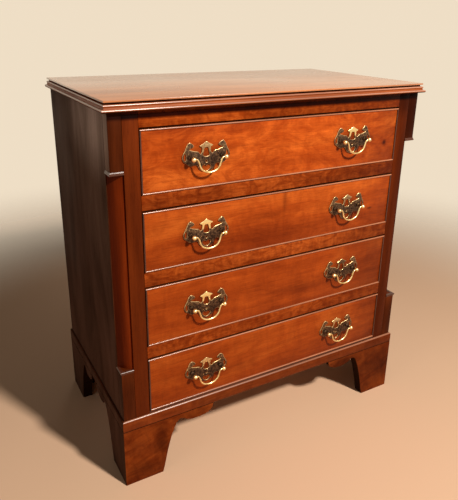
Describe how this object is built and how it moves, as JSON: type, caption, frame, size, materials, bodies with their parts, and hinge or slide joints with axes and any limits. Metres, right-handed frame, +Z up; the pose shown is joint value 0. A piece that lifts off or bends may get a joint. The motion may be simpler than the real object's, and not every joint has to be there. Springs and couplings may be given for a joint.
{
  "type": "chest of drawers",
  "caption": "Small Georgian style mahogany chest with a stack of long sliding drawers, canted front corners, bracket feet and pierced brass bail handles",
  "frame": {"origin": "on the floor, at the middle of the overall width and depth", "axes": "+X to the right as seen from the front, +Y to the back (the drawers open towards -Y), +Z up"},
  "size_m": [0.7074, 0.4096, 0.76],
  "materials": {
    "top_mahogany": "french polished mahogany, glossy",
    "case_mahogany": "french polished mahogany, satin gloss",
    "side_mahogany": "dark polished mahogany, satin",
    "drawer_mahogany": "polished figured mahogany, glossy",
    "drawer_oak": "planed oak, unpolished",
    "inside_pine": "planed pine, unpolished",
    "plate_brass": "antique darkened brass with rubbed edges",
    "bail_brass": "bright handled brass"
  },
  "bodies": {
    "carcase": {"top_board": "top_mahogany", "top_moulding": "top_mahogany", "side_left": "side_mahogany", "side_right": "side_mahogany", "back_board": "inside_pine", "stile_left": "case_mahogany", "stile_right": "case_mahogany", "corner_post_left": "case_mahogany", "corner_post_right": "case_mahogany", "top_rail": "case_mahogany", "drawer_rail_1": "case_mahogany", "drawer_rail_2": "case_mahogany", "drawer_rail_3": "case_mahogany", "kicker_left": "inside_pine", "kicker_right": "inside_pine", "dust_frame_1": "inside_pine", "dust_frame_2": "inside_pine", "dust_frame_3": "inside_pine", "carcase_bottom": "inside_pine", "base_moulding": "case_mahogany", "foot_front_left": "case_mahogany", "foot_front_right": "case_mahogany", "foot_rear_left": "case_mahogany", "foot_rear_right": "case_mahogany"},
    "drawer_1": {"drawer_1_front": "drawer_mahogany", "drawer_1_side_left": "drawer_oak", "drawer_1_side_right": "drawer_oak", "drawer_1_back": "drawer_oak", "drawer_1_bottom": "drawer_oak", "drawer_1_handle_plate_left": "plate_brass", "drawer_1_handle_plate_right": "plate_brass"},
    "drawer_1_bail_left": {"drawer_1_bail_left": "bail_brass"},
    "drawer_1_bail_right": {"drawer_1_bail_right": "bail_brass"},
    "drawer_2": {"drawer_2_front": "drawer_mahogany", "drawer_2_side_left": "drawer_oak", "drawer_2_side_right": "drawer_oak", "drawer_2_back": "drawer_oak", "drawer_2_bottom": "drawer_oak", "drawer_2_handle_plate_left": "plate_brass", "drawer_2_handle_plate_right": "plate_brass"},
    "drawer_2_bail_left": {"drawer_2_bail_left": "bail_brass"},
    "drawer_2_bail_right": {"drawer_2_bail_right": "bail_brass"},
    "drawer_3": {"drawer_3_front": "drawer_mahogany", "drawer_3_side_left": "drawer_oak", "drawer_3_side_right": "drawer_oak", "drawer_3_back": "drawer_oak", "drawer_3_bottom": "drawer_oak", "drawer_3_handle_plate_left": "plate_brass", "drawer_3_handle_plate_right": "plate_brass"},
    "drawer_3_bail_left": {"drawer_3_bail_left": "bail_brass"},
    "drawer_3_bail_right": {"drawer_3_bail_right": "bail_brass"},
    "drawer_4": {"drawer_4_front": "drawer_mahogany", "drawer_4_side_left": "drawer_oak", "drawer_4_side_right": "drawer_oak", "drawer_4_back": "drawer_oak", "drawer_4_bottom": "drawer_oak", "drawer_4_handle_plate_left": "plate_brass", "drawer_4_handle_plate_right": "plate_brass"},
    "drawer_4_bail_left": {"drawer_4_bail_left": "bail_brass"},
    "drawer_4_bail_right": {"drawer_4_bail_right": "bail_brass"}
  },
  "joints": [
    {"name": "drawer_1_slide", "type": "slide", "parent": "carcase", "child": "drawer_1", "axis": [0, -1, 0], "range_m": [0, 0.3]},
    {"name": "drawer_1_bail_left_swing", "type": "hinge", "parent": "drawer_1", "child": "drawer_1_bail_left", "pos_m": [-0.1675, -0.20025, 0.65364], "axis": [-1, 0, 0], "range_deg": [-28, 180]},
    {"name": "drawer_1_bail_right_swing", "type": "hinge", "parent": "drawer_1", "child": "drawer_1_bail_right", "pos_m": [0.1675, -0.20025, 0.65364], "axis": [-1, 0, 0], "range_deg": [-28, 180]},
    {"name": "drawer_2_slide", "type": "slide", "parent": "carcase", "child": "drawer_2", "axis": [0, -1, 0], "range_m": [0, 0.3]},
    {"name": "drawer_2_bail_left_swing", "type": "hinge", "parent": "drawer_2", "child": "drawer_2_bail_left", "pos_m": [-0.1675, -0.20025, 0.50959], "axis": [-1, 0, 0], "range_deg": [-28, 180]},
    {"name": "drawer_2_bail_right_swing", "type": "hinge", "parent": "drawer_2", "child": "drawer_2_bail_right", "pos_m": [0.1675, -0.20025, 0.50959], "axis": [-1, 0, 0], "range_deg": [-28, 180]},
    {"name": "drawer_3_slide", "type": "slide", "parent": "carcase", "child": "drawer_3", "axis": [0, -1, 0], "range_m": [0, 0.3]},
    {"name": "drawer_3_bail_left_swing", "type": "hinge", "parent": "drawer_3", "child": "drawer_3_bail_left", "pos_m": [-0.1675, -0.20025, 0.3613], "axis": [-1, 0, 0], "range_deg": [-28, 180]},
    {"name": "drawer_3_bail_right_swing", "type": "hinge", "parent": "drawer_3", "child": "drawer_3_bail_right", "pos_m": [0.1675, -0.20025, 0.3613], "axis": [-1, 0, 0], "range_deg": [-28, 180]},
    {"name": "drawer_4_slide", "type": "slide", "parent": "carcase", "child": "drawer_4", "axis": [0, -1, 0], "range_m": [0, 0.3]},
    {"name": "drawer_4_bail_left_swing", "type": "hinge", "parent": "drawer_4", "child": "drawer_4_bail_left", "pos_m": [-0.1675, -0.20025, 0.21426], "axis": [-1, 0, 0], "range_deg": [-28, 180]},
    {"name": "drawer_4_bail_right_swing", "type": "hinge", "parent": "drawer_4", "child": "drawer_4_bail_right", "pos_m": [0.1675, -0.20025, 0.21426], "axis": [-1, 0, 0], "range_deg": [-28, 180]}
  ]
}
